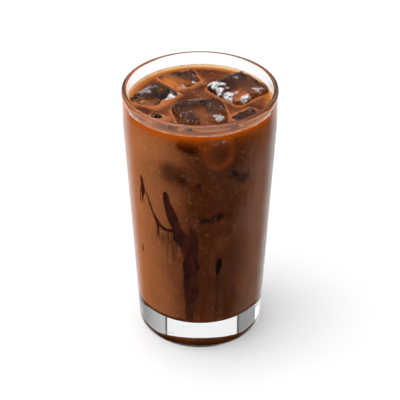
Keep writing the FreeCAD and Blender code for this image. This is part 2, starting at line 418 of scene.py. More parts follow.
def woven(grids):
    """Points and faces of closed surfaces, from an array (surfaces, rows, columns, 3).

    The columns close round, and the first and last rows are poles, kept as one point each.
    """
    count, rows, columns = grids.shape[:3]
    rings = grids[:, 1:-1].reshape(count, -1, 3)
    points = np.concatenate([grids[:, :1, 0], rings, grids[:, -1:, 0]], axis=1)
    ring = 1 + np.arange((rows - 2) * columns).reshape(rows - 2, columns)
    after = np.roll(ring, -1, axis=1)
    sides = np.stack([ring[:-1], after[:-1], after[1:], ring[1:]], axis=-1).reshape(-1, 4)
    first = np.zeros(columns, dtype=int)
    last = np.full(columns, points.shape[1] - 1)
    caps = np.concatenate(
        [np.stack([first, after[0], ring[0]], axis=-1), np.stack([last, ring[-1], after[-1]], axis=-1)]
    )
    starts = np.arange(count)[:, None, None] * points.shape[1]
    return (
        points.reshape(-1, 3),
        [(sides + starts).reshape(-1, 4), (caps + starts).reshape(-1, 3)],
    )


def grid_values(grid):
    """Values on a grid of woven, one for each of its points."""
    return np.concatenate([grid[0, :1], grid[1:-1].ravel(), grid[-1, :1]])


def outward(points, faces):
    """The faces, all turned round if the volume that they close comes out negative."""
    volume = 0.0
    for group in faces:
        a, b, c = points[group[:, 0]], points[group[:, 1]], points[group[:, 2]]
        volume += np.einsum("ij,ij->i", a, np.cross(b, c)).sum()
        if group.shape[1] == 4:
            d = points[group[:, 3]]
            volume += np.einsum("ij,ij->i", a, np.cross(c, d)).sum()
    return faces if volume > 0 else [group[:, ::-1] for group in faces]


def mesh_of(name, points, faces):
    """Smooth mesh of points and of faces given as arrays with three or four point numbers a row."""
    faces = outward(points, faces)
    sizes = np.concatenate([np.full(len(group), group.shape[1]) for group in faces])
    corners = np.concatenate([group.ravel() for group in faces])
    mesh = bpy.data.meshes.new(name)
    mesh.vertices.add(len(points))
    mesh.vertices.foreach_set("co", points.astype(np.float32).ravel())
    mesh.loops.add(len(corners))
    mesh.loops.foreach_set("vertex_index", corners.astype(np.int32))
    mesh.polygons.add(len(sizes))
    mesh.polygons.foreach_set("loop_start", (np.cumsum(sizes) - sizes).astype(np.int32))
    mesh.update(calc_edges=True)
    mesh.validate()
    mesh.shade_smooth()
    return mesh


def shown(name, mesh, *materials):
    """Object in the scene for a mesh, with its materials."""
    piece = bpy.data.objects.new(name, mesh)
    bpy.context.scene.collection.objects.link(piece)
    for material in materials:
        mesh.materials.append(material)
    return piece


def kept(piece, slot, *nodes):
    """Makes a piece ride on the glass and hides the solids it stands for; its slot is not used."""
    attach(piece, BODY)
    if nodes:
        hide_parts(*nodes)


def places_of(mesh):
    """Vertex places of a mesh as an array."""
    places = np.empty(len(mesh.vertices) * 3, dtype=np.float32)
    mesh.vertices.foreach_get("co", places)
    return places.reshape(-1, 3).astype(float)


def give(mesh, name, values):
    """Stores one number a vertex, for a material to read."""
    attribute = mesh.attributes.new(name, "FLOAT", "POINT")
    attribute.data.foreach_set("value", np.asarray(values, dtype=np.float32).ravel())


def smooth_step(low, high, values):
    """0 below low, 1 above high, and a smooth S between them."""
    t = np.clip((values - low) / (high - low), 0, 1)
    return t * t * (3 - 2 * t)


def waves(points, wavelength, seed, count=14):
    """Soft random relief, about -1 to 1: the mean of plane waves in random directions."""
    random = np.random.default_rng(seed)
    directions = random.normal(size=(count, 3))
    directions /= np.linalg.norm(directions, axis=1, keepdims=True)
    turns = TURN / (wavelength * random.uniform(0.7, 1.6, count))
    phases = random.uniform(0, TURN, count)
    total = np.zeros(points.shape[:-1])
    for direction, turn, phase in zip(directions, turns, phases):
        total += np.sin(points @ (direction * turn) + phase)
    return total / math.sqrt(count)


def corner_arc(before, corner, after, radius, steps):
    """Points of the arc of a radius that touches both sides of a corner of a flat outline."""
    before, corner, after = (np.array(point, dtype=float) for point in (before, corner, after))
    to_before = (before - corner) / np.linalg.norm(before - corner)
    to_after = (after - corner) / np.linalg.norm(after - corner)
    half = math.acos(float(np.clip(to_before @ to_after, -1, 1))) / 2
    bisector = (to_before + to_after) / np.linalg.norm(to_before + to_after)
    centre = corner + bisector * (radius / math.sin(half))
    start = corner + to_before * (radius / math.tan(half)) - centre
    end = corner + to_after * (radius / math.tan(half)) - centre
    sweep = math.pi - 2 * half
    share_along = np.linspace(0, 1, steps)[:, None]
    return centre + (
        start * np.sin((1 - share_along) * sweep) + end * np.sin(share_along * sweep)
    ) / math.sin(sweep)


def rounded_outline(stations, spacing):
    """Outline through (radius, height, rounding) stations, its corners rounded, with points added
    along the straight stretches so that none is longer than the spacing."""
    points = [np.array([stations[0][:2]])]
    for before, here, after in zip(stations, stations[1:], stations[2:]):
        if here[2] == 0:
            points.append(np.array([here[:2]]))
            continue
        steps = 5 if here[2] > 50 * MM else 9
        points.append(corner_arc(before[:2], here[:2], after[:2], here[2], steps))
    points.append(np.array([stations[-1][:2]]))
    corners = np.vstack(points)
    lengths = np.linalg.norm(np.diff(corners, axis=0), axis=1)
    filled = [
        start + (end - start) * np.linspace(0, 1, max(1, math.ceil(size / spacing)), endpoint=False)[:, None]
        for start, end, size in zip(corners, corners[1:], lengths)
    ]
    return np.vstack(filled + [corners[-1:]])


def swept(outline, segments):
    """Grid of (radius, height) rows carried round Z."""
    angles = np.arange(segments) * TURN / segments
    radius, height = outline[:, :1], outline[:, 1:]
    return np.stack([radius * np.cos(angles), radius * np.sin(angles), height + 0 * angles], axis=-1)


def turned(outline, segments):
    """Closed surface turned about Z from (radius, height) rows that start and end on the axis."""
    return woven(swept(outline, segments)[None])


def ball(rows, columns):
    """Unit directions by polar angle, in rows, and bearing, in columns."""
    polar = np.linspace(0, math.pi, rows)[:, None]
    bearing = np.arange(columns) * TURN / columns
    return np.stack(
        [np.sin(polar) * np.cos(bearing), np.sin(polar) * np.sin(bearing), np.cos(polar) + 0 * bearing],
        axis=-1,
    )


class Vessel:
    """Walls of the tumbler, worked out from its settings."""

    def __init__(self, tumbler, drink):
        self.tumbler = tumbler
        self.neck = tumbler.rim_radius - tumbler.bead_swell
        self.shoulder = tumbler.height - tumbler.rim_band
        self.lip_inside = tumbler.rim_radius - tumbler.lip_thickness
        self.floor_radius = self.outside(tumbler.base) - tumbler.wall
        self.brim = COFFEE_HIGH[2]
        self.level = COFFEE_HIGH[2] - drink.meniscus_rise

    def outside(self, height):
        """Radius outside: a straight taper from the heel up to the shoulder, then upright."""
        tumbler = self.tumbler
        along = (height - tumbler.heel_height) / (self.shoulder - tumbler.heel_height)
        return tumbler.heel_radius + (self.neck - tumbler.heel_radius) * np.minimum(along, 1)

    def inside(self, height):
        """Radius inside: one straight taper from the floor to the lip."""
        along = (height - self.tumbler.base) / (self.tumbler.height - self.tumbler.base)
        return self.floor_radius + (self.lip_inside - self.floor_radius) * along


def current_vessel(context):
    """The vessel as the scene's settings have it."""
    return Vessel(context.scene.iced_tumbler, context.scene.iced_drink)


def glass_outline(vessel):
    """Half section of the tumbler, from under the base, up the outside and down the inside."""
    tumbler = vessel.tumbler
    neck_height = tumbler.height - tumbler.bead_height
    lip_round = (tumbler.lip_thickness - 0.1 * MM) / 2
    stations = [
        (0, tumbler.recess_rise, 0),
        (tumbler.recess_radius - tumbler.recess_slope, tumbler.recess_rise, 6 * MM),
        (tumbler.recess_radius, 0, 6 * MM),
        (tumbler.foot_radius, 0, 3 * MM),
        (tumbler.heel_radius, tumbler.heel_height, 4 * MM),
        (vessel.neck, vessel.shoulder, 200 * MM),
        (vessel.neck, neck_height, 4 * MM),
        (tumbler.rim_radius, neck_height + tumbler.bead_slope, 2 * MM),
        (tumbler.rim_radius, tumbler.height, lip_round),
        (vessel.lip_inside, tumbler.height, lip_round),
        (vessel.floor_radius, tumbler.base, tumbler.floor_round),
        (0, tumbler.base, 0),
    ]
    return rounded_outline(stations, 2.5 * MM)


def turn_matrix(yaw, pitch, roll):
    """Rotation about X by roll, then Y by pitch, then Z by yaw, all in degrees."""
    z, y, x = np.radians([yaw, pitch, roll])
    about_z = np.array([[math.cos(z), -math.sin(z), 0], [math.sin(z), math.cos(z), 0], [0, 0, 1]])
    about_y = np.array([[math.cos(y), 0, math.sin(y)], [0, 1, 0], [-math.sin(y), 0, math.cos(y)]])
    about_x = np.array([[1, 0, 0], [0, math.cos(x), -math.sin(x)], [0, math.sin(x), math.cos(x)]])
    return about_z @ about_y @ about_x


def compass(bearing, elevation=0.0):
    """Unit direction with a compass bearing and an elevation in degrees."""
    around, above = math.radians(bearing), math.radians(elevation)
    return np.array(
        [math.cos(around) * math.cos(above), math.sin(around) * math.cos(above), math.sin(above)]
    )


def smooth_max(a, b, width):
    """The larger of two values, with the crease between them rounded over a width."""
    return np.maximum(a, b) + np.maximum(width - np.abs(a - b), 0) ** 2 / (4 * width)


class Cube:
    """One melting ice cube: a drafted box with rounded edges, cut back by its neighbours and the wall."""

    def __init__(self, centre, edges, rounding, turn, seed, ice):
        self.centre = centre
        self.half = np.array(edges) * MM / 2
        self.rounding = rounding * MM * ice.crispness
        self.turn = turn_matrix(*turn)
        self.seed = seed
        self.ice = ice
        self.planes = []
        self.vessel = None

    def plan(self):
        """Mean of the two horizontal edges."""
        return self.half[0] + self.half[1]

    def make_room(self, other):
        """Adds the upright plane between this cube and another as a limit."""
        across = (other.centre - self.centre) * (1, 1, 0)
        part = self.plan() / (self.plan() + other.plan())
        away = across / np.linalg.norm(across)
        self.planes.append((self.centre + across * part - away * self.ice.ice_gap / 2, away))

    def distance(self, points, melt=True):
        """Signed distance outside the cube: that of a rounded box, with its sides drawn in towards
        the base, then the larger of it and each limit, and a little relief taken off."""
        local = (points - self.centre) @ self.turn
        draw = 1 - (1 - self.ice.draft) * (0.5 - local[..., 2:] / (4 * self.half[2]))
        local = local / np.concatenate([draw, draw, np.ones_like(draw)], axis=-1)
        corner = np.abs(local) - (self.half - self.rounding)
        gap = np.linalg.norm(np.maximum(corner, 0), axis=-1) + np.minimum(corner.max(axis=-1), 0)
        gap = gap - self.rounding
        for limit, away in self.planes:
            gap = smooth_max(gap, (points - limit) @ away, 1.5 * MM)
        if self.vessel is not None:
            reach = np.linalg.norm(points[..., :2], axis=-1)
            wall = reach - self.vessel.inside(points[..., 2]) + self.ice.wall_gap
            gap = smooth_max(gap, wall, 1.5 * MM)
        if melt:
            gap = gap + self.ice.lump * waves(points, 9 * MM, self.seed)
            edge = smooth_step(-1.2 * MM, 1.5 * MM, np.sort(corner, axis=-1)[..., 1])
            gap = gap + self.ice.crinkle * waves(points, 1.7 * MM, self.seed + 50) * (0.35 + edge)
        return gap

    def bevel(self, points):
        """1 along the rounded edges of the cube and 0 on its flat faces."""
        local = np.abs((points - self.centre) @ self.turn)
        corner = np.sort(local - (self.half - 1.6 * self.rounding), axis=-1)
        return smooth_step(-1.5 * MM, 1.5 * MM, corner[..., 1])

    def skin(self, rows, columns, inset=0.0, melt=True):
        """Grid over the cube by polar angle and bearing: from well outside, each point walks in
        towards the centre by its distance until it meets the surface."""
        directions = ball(rows, columns)
        reach = np.full(directions.shape[:2], float(np.linalg.norm(self.half)) + MM)
        for _ in range(46):
            gap = self.distance(self.centre + directions * reach[..., None], melt) + inset
            reach = np.maximum(reach - 0.9 * gap, 0.2 * MM)
        return self.centre + directions * reach[..., None], directions


def floating_cubes(context):
    """Every floating cube by name, each keeping to its own side of its neighbours."""
    vessel = current_vessel(context)
    ice = context.scene.iced_ice
    cubes = {}
    for seed, (name, (bearing, inset, depth, edges, rounding, turn)) in enumerate(ICE.items()):
        reach = vessel.inside(vessel.level) - inset * MM
        centre = compass(bearing) * reach + UP * (vessel.level - depth * MM)
        cubes[name] = Cube(centre, edges, rounding, turn, 11 + seed, ice)
        cubes[name].vessel = vessel
    for name, cube in cubes.items():
        for other_name, other in cubes.items():
            if other_name != name:
                cube.make_room(other)
    return cubes


def patch(bearing, height, radius, place):
    """How much a soft oval patch on the wall covers points at a bearing and height, from 0 to 1."""
    centre, middle, half_width, half_height, lean, soft, strength = place
    across = (bearing - centre + 180) % 360 - 180
    across = np.radians(across) * radius
    up = height - middle * MM
    tilt = math.radians(lean)
    along = (across * math.cos(tilt) + up * math.sin(tilt)) / (math.radians(half_width) * WALL_REACH)
    over = (up * math.cos(tilt) - across * math.sin(tilt)) / (half_height * MM)
    reach = (np.abs(along) ** 2.6 + np.abs(over) ** 2.6) ** (1 / 2.6)
    return strength * (1 - smooth_step(1 - soft, 1 + soft, reach))


# Materials


def add(tree, kind, inputs=None, **settings):
    """Adds a node, sets what it is told, and fills or links its inputs by name or number."""
    node = tree.nodes.new(kind)
    for key, value in settings.items():
        setattr(node, key, value)
    for key, value in (inputs or {}).items():
        if isinstance(value, bpy.types.NodeSocket):
            tree.links.new(value, node.inputs[key])
        else:
            node.inputs[key].default_value = value
    return node


def new_group(name, inputs, outputs):
    """Empty shader node group with named inputs and outputs."""
    group = bpy.data.node_groups.new(name, "ShaderNodeTree")
    for label, kind, value in inputs:
        socket = group.interface.new_socket(name=label, in_out="INPUT", socket_type=kind)
        if value is not None:
            socket.default_value = value
    for label, kind in outputs:
        group.interface.new_socket(name=label, in_out="OUTPUT", socket_type=kind)
    return group, group.nodes.new("NodeGroupInput"), group.nodes.new("NodeGroupOutput")


def placed(tree, group, inputs):
    """A node group in a material, with its own values."""
    node = tree.nodes.new("ShaderNodeGroup")
    node.node_tree = group
    for key, value in inputs.items():
        if isinstance(value, bpy.types.NodeSocket):
            tree.links.new(value, node.inputs[key])
        else:
            node.inputs[key].default_value = value
    return node


def mixed_colour(tree, factor, first, second):
    """Colour that goes from the first to the second as the factor goes from 0 to 1."""
    node = tree.nodes.new("ShaderNodeMix")
    node.data_type = "RGBA"
    for socket, value in ((node.inputs[0], factor), (node.inputs[6], first), (node.inputs[7], second)):
        if isinstance(value, bpy.types.NodeSocket):
            tree.links.new(value, socket)
        elif isinstance(value, float):
            socket.default_value = value
        else:
            socket.default_value = (*value[:3], 1.0)
    return node.outputs[2]


def maths(tree, operation, first, second=0.0, clamp=False):
    """Result of a sum, product or other operation on two values."""
    node = add(tree, "ShaderNodeMath", {0: first, 1: second}, operation=operation, use_clamp=clamp)
    return node.outputs[0]


def ranged(tree, value, low, high, to_low=0.0, to_high=1.0):
    """Value carried from one range to another along a smooth S, and kept inside it."""
    node = add(
        tree, "ShaderNodeMapRange",
        {"Value": value, "From Min": low, "From Max": high, "To Min": to_low, "To Max": to_high},
        interpolation_type="SMOOTHSTEP",
    )
    return node.outputs["Result"]


def ranged_flat(tree, value, low, high):
    """Value carried evenly from one range to 0 to 1."""
    return add(tree, "ShaderNodeMapRange", {"Value": value, "From Min": low, "From Max": high}).outputs[0]


def mottle_group():
    """Cloudy mask: noise on stretched places, sharpened by a contrast."""
    group, given, out = new_group(
        "mottle",
        (
            ("Place", "NodeSocketVector", None),
            ("Stretch", "NodeSocketVector", (1.0, 1.0, 1.0)),
            ("Scale", "NodeSocketFloat", 100.0),
            ("Low", "NodeSocketFloat", 0.35),
            ("High", "NodeSocketFloat", 0.65),
        ),
        (("Mask", "NodeSocketFloat"),),
    )
    mapped = add(
        group, "ShaderNodeMapping",
        {"Vector": given.outputs["Place"], "Scale": given.outputs["Stretch"]},
    )
    noise = add(
        group, "ShaderNodeTexNoise",
        {"Vector": mapped.outputs[0], "Scale": given.outputs["Scale"], "Detail": 4.0, "Roughness": 0.55},
    )
    mask = ranged(group, noise.outputs["Fac"], given.outputs["Low"], given.outputs["High"])
    group.links.new(mask, out.inputs["Mask"])
    return group


def relief_group():
    """Normal of a lightly dented surface: two sizes of noise through a bump."""
    group, given, out = new_group(
        "relief",
        (
            ("Place", "NodeSocketVector", None),
            ("Scale", "NodeSocketFloat", 100.0),
            ("Fine", "NodeSocketFloat", 400.0),
            ("Strength", "NodeSocketFloat", 0.2),
        ),
        (("Normal", "NodeSocketVector"),),
    )
    broad, fine = (
        add(
            group, "ShaderNodeTexNoise",
            {"Vector": given.outputs["Place"], "Scale": given.outputs[scale]},
        ).outputs["Fac"]
        for scale in ("Scale", "Fine")
    )
    total = maths(group, "ADD", broad, maths(group, "MULTIPLY", fine, 0.35))
    bump = add(
        group, "ShaderNodeBump",
        {"Height": total, "Strength": given.outputs["Strength"], "Distance": 1 * MM},
    )
    group.links.new(bump.outputs["Normal"], out.inputs["Normal"])
    return group


def specks_group():
    """Mask of sparse tiny round specks: cells of a Voronoi pattern, most of them left empty."""
    group, given, out = new_group(
        "specks",
        (
            ("Place", "NodeSocketVector", None),
            ("Scale", "NodeSocketFloat", 500.0),
            ("Size", "NodeSocketFloat", 0.2),
            ("Share", "NodeSocketFloat", 0.2),
        ),
        (("Mask", "NodeSocketFloat"),),
    )
    cells = add(
        group, "ShaderNodeTexVoronoi",
        {"Vector": given.outputs["Place"], "Scale": given.outputs["Scale"]},
    )
    parts = add(group, "ShaderNodeSeparateColor", {0: cells.outputs["Color"]})
    filled = maths(group, "LESS_THAN", parts.outputs[0], given.outputs["Share"])
    inner = maths(group, "MULTIPLY", given.outputs["Size"], 0.4)
    away = ranged(group, cells.outputs["Distance"], inner, given.outputs["Size"])
    near = maths(group, "SUBTRACT", 1.0, away)
    group.links.new(maths(group, "MULTIPLY", near, filled), out.inputs["Mask"])
    return group


def brew_group():
    """Colour of the drink from how milky it is, how near the waterline and how deep under ice, with painted
    light in the milk share and the amber and thin colours, and painted shade under ice.
    """
    group, given, out = new_group(
        "brew colour",
        (
            ("Milk", "NodeSocketFloat", 0.5),
            ("Edge", "NodeSocketFloat", 0.0),
            ("Depth", "NodeSocketFloat", 0.0),
            ("Sunk", "NodeSocketFloat", 0.0),
            ("Milky", "NodeSocketColor", (0.5, 0.2, 0.1, 1)),
            ("Dark", "NodeSocketColor", (0.1, 0.03, 0.01, 1)),
            ("Thin", "NodeSocketColor", (0.8, 0.5, 0.3, 1)),
            ("Amber", "NodeSocketColor", (0.5, 0.2, 0.02, 1)),
            ("Hollow", "NodeSocketColor", (0.03, 0.01, 0.002, 1)),
            ("Deep", "NodeSocketColor", (0.01, 0.003, 0.001, 1)),
        ),
        (("Colour", "NodeSocketColor"),),
    )
    body = mixed_colour(group, given.outputs["Milk"], given.outputs["Dark"], given.outputs["Milky"])
    # Painted shade: darker deeper under the ice.
    under = mixed_colour(group, given.outputs["Depth"], body, given.outputs["Hollow"])
    # Darker where sunk ice shows, and painted shade under the ice.
    sunk = mixed_colour(group, given.outputs["Sunk"], under, given.outputs["Deep"])
    # Painted light: amber under the waterline and under the ice, then the thin colour.
    lit_amber = ranged(group, given.outputs["Edge"], 0.05, 0.55)
    near = mixed_colour(group, lit_amber, sunk, given.outputs["Amber"])
    thin = ranged(group, given.outputs["Edge"], 0.55, 1.0)
    group.links.new(mixed_colour(group, thin, near, given.outputs["Thin"]), out.inputs["Colour"])
    return group


GROUP_MAKERS = {
    "mottle": mottle_group,
    "relief": relief_group,
    "specks": specks_group,
    "brew colour": brew_group,
}


def group_named(name):
    """A shared node group, made the first time it is asked for."""
    return bpy.data.node_groups.get(name) or GROUP_MAKERS[name]()


def masked(tree, group, place, **values):
    """Mask or normal that a shared group gives at a place, its inputs named in lower case."""
    inputs = {key.capitalize(): value for key, value in values.items()}
    return placed(tree, group_named(group), {"Place": place, **inputs}).outputs[0]


def new_material(name):
    """Empty material: its node tree, the place on the piece, and the output node."""
    material = bpy.data.materials.new(name)
    material.use_nodes = True
    tree = material.node_tree
    tree.nodes.clear()
    place = tree.nodes.new("ShaderNodeTexCoord").outputs["Object"]
    return material, tree, place, tree.nodes.new("ShaderNodeOutputMaterial")


def read(tree, name):
    """A number stored on the vertices."""
    return add(tree, "ShaderNodeAttribute", attribute_name=name).outputs["Fac"]


def finished(tree, out, values):
    """Ends a material in a Principled shader with these values."""
    shader = add(tree, "ShaderNodeBsdfPrincipled", values)
    tree.links.new(shader.outputs[0], out.inputs["Surface"])


def clear_to_lamps(tree, out, passed, values):
    """Ends a clear material in a Principled shader with these values, which lets lamps and soft
    bounced light straight through, tinted a little."""
    shader = add(tree, "ShaderNodeBsdfPrincipled", values).outputs[0]
    path = tree.nodes.new("ShaderNodeLightPath")
    open_shader = add(tree, "ShaderNodeBsdfTransparent", {"Color": (*passed, 1)}).outputs[0]
    for ray in ("Is Shadow Ray", "Is Diffuse Ray"):
        shader = add(
            tree, "ShaderNodeMixShader", {0: path.outputs[ray], 1: shader, 2: open_shader}
        ).outputs[0]
    tree.links.new(shader, out.inputs["Surface"])


def glass_material(tumbler):
    """Clear pressed glass, very slightly wavy."""
    material, tree, place, out = new_material("clear glass")
    normal = masked(tree, "relief", place, scale=45.0, fine=130.0, strength=0.035)
    tint = masked(tree, "mottle", place, scale=30.0)
    clear_to_lamps(tree, out, (0.94, 0.955, 0.95), {
        "Base Color": mixed_colour(tree, tint, tumbler.tint, (0.965, 0.98, 0.975)),
        "Roughness": 0.0, "IOR": 1.52, "Transmission Weight": 1.0, "Normal": normal,
    })
    return material


def brew_colour(tree, place, drink, depth, sunk, lit_amber):
    """The drink's colour at a place: cloudy streaks of milk, a fine grain, dark specks, and pale specks that
    are painted highlights.
    """
    streaks = masked(tree, "mottle", place, stretch=(1.0, 1.0, 0.22), scale=120.0, low=0.3, high=0.7)
    clouds = masked(tree, "mottle", place, scale=60.0, low=0.32, high=0.68)
    sway = maths(tree, "MULTIPLY", maths(tree, "SUBTRACT", streaks, 0.5), 0.05)
    drift = maths(tree, "MULTIPLY", maths(tree, "SUBTRACT", clouds, 0.5), 0.07)
    grit = masked(tree, "mottle", place, scale=620.0, low=0.3, high=0.7)
    grain = maths(tree, "MULTIPLY", maths(tree, "SUBTRACT", grit, 0.5), 0.11)
    drift = maths(tree, "ADD", drift, grain)
    milk_and_light = maths(tree, "ADD", read(tree, "milk_and_light"), maths(tree, "ADD", sway, drift), clamp=True)
    brew = placed(
        tree, group_named("brew colour"),
        {
            "Milk": milk_and_light, "Edge": read(tree, "edge"), "Depth": depth, "Sunk": sunk,
            "Milky": (*drink.milky, 1), "Dark": (*drink.dark, 1), "Thin": (*drink.edge, 1),
            "Amber": (*lit_amber, 1), "Hollow": (*drink.hollow, 1), "Deep": (*drink.deep, 1),
        },
    )
    dots = masked(tree, "specks", place, scale=760.0, size=0.34, share=0.07)
    dimmed = mixed_colour(tree, maths(tree, "MULTIPLY", dots, 0.5), brew.outputs[0], drink.deep)
    # Pale specks: painted highlights of tiny drops.
    specks = masked(tree, "specks", place, scale=900.0, size=0.36, share=0.075)
    pale = maths(tree, "MULTIPLY", specks, 0.42)
    return mixed_colour(tree, pale, dimmed, drink.edge)


def coffee_surface_material(drink):
    """Open surface of the coffee: wet and almost level."""
    material, tree, place, out = new_material("coffee surface")
    normal = masked(tree, "relief", place, scale=90.0, fine=420.0, strength=0.06)
    finished(tree, out, {
        "Base Color": brew_colour(tree, place, drink, 0.0, 0.0, drink.tan),
        "Roughness": 0.1, "IOR": 1.34, "Specular IOR Level": 0.07, "Normal": normal,
    })
    return material


def coffee_wall_material(drink):
    """Coffee that touches glass or ice, which takes its shine away, with painted light under the waterline
    and painted light, painted shade and light given off under the ice.
    """
    material, tree, place, out = new_material("coffee against glass")
    grain = masked(tree, "mottle", place, scale=330.0, low=0.4, high=0.68)
    # Painted shade: mottled darkening where the drink lies deeper under the ice.
    shade = maths(tree, "MULTIPLY", maths(tree, "MULTIPLY", grain, read(tree, "depth")), 0.55)
    sunk = maths(tree, "ADD", read(tree, "sunk"), shade, clamp=True)
    finished(tree, out, {
        "Base Color": brew_colour(tree, place, drink, read(tree, "depth"), sunk, drink.lit_amber),
        # The emission is a painted glow in the hollows under the ice, though the drink is no lamp.
        "Roughness": 0.9, "IOR": 1.34, "Specular IOR Level": 0.0, "Emission Strength": 1.0,
        "Emission Color": mixed_colour(tree, read(tree, "painted_glow"), (0.0, 0.0, 0.0), drink.painted_glow),
    })
    return material


def ice_material():
    """Clear ice with a wet, finely crinkled skin."""
    material, tree, place, out = new_material("clear ice")
    normal = masked(tree, "relief", place, scale=260.0, fine=900.0, strength=0.6)
    cloud = masked(tree, "mottle", place, scale=140.0, low=0.45, high=0.8)
    clear_to_lamps(tree, out, (0.95, 0.95, 0.95), {
        "Base Color": mixed_colour(tree, cloud, (0.97, 0.97, 0.97), (0.86, 0.84, 0.82)),
        "Roughness": 0.03, "IOR": 1.31, "Transmission Weight": 1.0,
        "Specular Tint": (0.08, 0.08, 0.08, 1), "Normal": normal,
    })
    return material


def frost_material(ice):
    """White frost, opened by noise into crystals and gaps, with white glints along the edges that are
    painted highlights.
    """
    material, tree, place, out = new_material("frost")
    coarse = masked(tree, "mottle", place, scale=850.0, low=0.34, high=0.5)
    fine = masked(tree, "mottle", place, scale=1700.0, low=0.38, high=0.56)
    open_share = maths(tree, "MULTIPLY", coarse, maths(tree, "ADD", fine, 0.25, clamp=True))
    patches = maths(tree, "MULTIPLY", open_share, read(tree, "frost"), clamp=True)
    # Painted highlights: white glints along the upward bevels of the cubes.
    specks = masked(tree, "specks", place, scale=1300.0, size=0.42, share=0.3)
    glints = maths(tree, "MULTIPLY", specks, read(tree, "glint"), clamp=True)
    alpha = maths(tree, "MAXIMUM", patches, glints)
    normal = masked(tree, "relief", place, scale=900.0, fine=2200.0, strength=0.6)
    finished(tree, out, {
        "Base Color": mixed_colour(tree, fine, (0.62, 0.58, 0.55), ice.frost),
        "Roughness": 0.35, "IOR": 1.31, "Alpha": alpha, "Normal": normal,
    })
    return material


def sunk_ice_material():
    """Sunk ice stained by the coffee round it, with a painted highlight on its upward faces."""
    material, tree, place, out = new_material("sunk ice")
    cloud = masked(tree, "mottle", place, scale=110.0, low=0.3, high=0.7)
    fine = masked(tree, "mottle", place, scale=420.0, low=0.5, high=0.68)
    inside = mixed_colour(tree, cloud, linear(112, 48, 12), linear(142, 72, 32))
    normal = masked(tree, "relief", place, scale=300.0, fine=900.0, strength=0.3)
    finished(tree, out, {
        # Painted highlight: the upward faces turn a pale frost colour.
        "Base Color": mixed_colour(
            tree, maths(tree, "MULTIPLY", fine, read(tree, "frost")), inside,
            linear(226, 214, 204),
        ),
        "Roughness": 0.3, "IOR": 1.31, "Specular IOR Level": 0.1, "Normal": normal,
        "Alpha": read(tree, "cover"),
    })
    return material


def syrup_material(syrup):
    """Dark syrup, thinning to nothing at its edges."""
    material, tree, place, out = new_material("syrup")
    cloud = masked(tree, "mottle", place, stretch=(1.0, 1.0, 0.3), scale=260.0, low=0.3, high=0.7)
    fray = maths(tree, "MULTIPLY", maths(tree, "SUBTRACT", cloud, 0.5), 0.3)
    cover = ranged(tree, maths(tree, "ADD", read(tree, "cover"), fray), 0.12, 0.62)
    finished(tree, out, {
        "Base Color": mixed_colour(
            tree, read(tree, "shade"),
            mixed_colour(tree, cloud, syrup.syrup, linear(74, 32, 18)), linear(26, 9, 5),
        ),
        "Roughness": 0.8, "IOR": 1.34, "Specular IOR Level": 0.0,
        "Alpha": maths(tree, "MULTIPLY", cover, read(tree, "strength")),
    })
    return material


def foam_material():
    """Thin-skinned bubbles of coffee."""
    material, tree, place, out = new_material("foam")
    cloud = masked(tree, "mottle", place, scale=400.0)
    finished(tree, out, {
        "Base Color": mixed_colour(tree, cloud, linear(196, 138, 88), linear(236, 206, 172)),
        "Roughness": 0.08, "IOR": 1.34,
    })
    return material


def water_material():
    """Drops of water."""
    material, tree, place, out = new_material("water drops")
    normal = masked(tree, "relief", place, scale=300.0, fine=900.0, strength=0.03)
    clear_to_lamps(tree, out, (0.96, 0.96, 0.96), {
        "Base Color": (0.98, 0.985, 0.99, 1), "Roughness": 0.0, "IOR": 1.33,
        "Transmission Weight": 1.0, "Normal": normal,
    })
    return material


def mist_material():
    """Breath-thin mist of droplets too small to see."""
    material, tree, place, out = new_material("mist")
    cloud = masked(tree, "mottle", place, scale=110.0, low=0.25, high=0.75)
    grain = masked(tree, "specks", place, scale=1500.0, size=0.5, share=0.45)
    soft = maths(tree, "ADD", maths(tree, "MULTIPLY", cloud, 0.5), 0.5)
    crisp = maths(tree, "ADD", maths(tree, "MULTIPLY", grain, 0.5), 0.6)
    alpha = maths(tree, "MULTIPLY", maths(tree, "MULTIPLY", soft, crisp), read(tree, "mist"), clamp=True)
    finished(tree, out, {
        "Base Color": (0.9, 0.85, 0.82, 1), "Roughness": 0.6, "IOR": 1.33, "Alpha": alpha,
    })
    return material


def floor_material(stage):
    """Pale matt board."""
    material, tree, place, out = new_material("pale floor")
    cloud = masked(tree, "mottle", place, scale=6.0)
    finished(tree, out, {
        "Base Color": mixed_colour(tree, cloud, stage.floor, (0.94, 0.94, 0.94)),
        "Roughness": 0.85, "Specular IOR Level": 0.1,
    })
    return material


# Pieces


class ICED_OT_tumbler(bpy.types.Operator):
    """Make the clear tumbler"""

    bl_idname = "iced.tumbler"
    bl_label = "Tumbler"

    def execute(self, context):
        tumbler = context.scene.iced_tumbler
        outline = glass_outline(current_vessel(context))
        mesh = mesh_of("tumbler", *turned(outline, tumbler.segments))
        kept(shown("tumbler", mesh, glass_material(tumbler)), "glass", "glass")
        return {"FINISHED"}


def coffee_outline(vessel, drink):
    """Half section of the coffee: bottom, rounded corner, wall, meniscus, level surface."""
    tumbler = vessel.tumbler
    bite = drink.bite
    brim_radius = vessel.inside(vessel.brim) + bite
    stations = [
        (0, tumbler.base - bite, 0),
        (vessel.floor_radius + bite, tumbler.base - bite, tumbler.floor_round),
        (brim_radius, vessel.brim, 0),
    ]
    wall = rounded_outline(stations, 1.3 * MM)
    across = np.linspace(brim_radius, 0, 104)
    climb = 1 - np.clip((brim_radius - across) / (drink.meniscus_width + bite), 0, 1)
    top = np.stack([across, vessel.level + drink.meniscus_rise * climb**2], axis=-1)
    return np.vstack([wall, top[1:]])


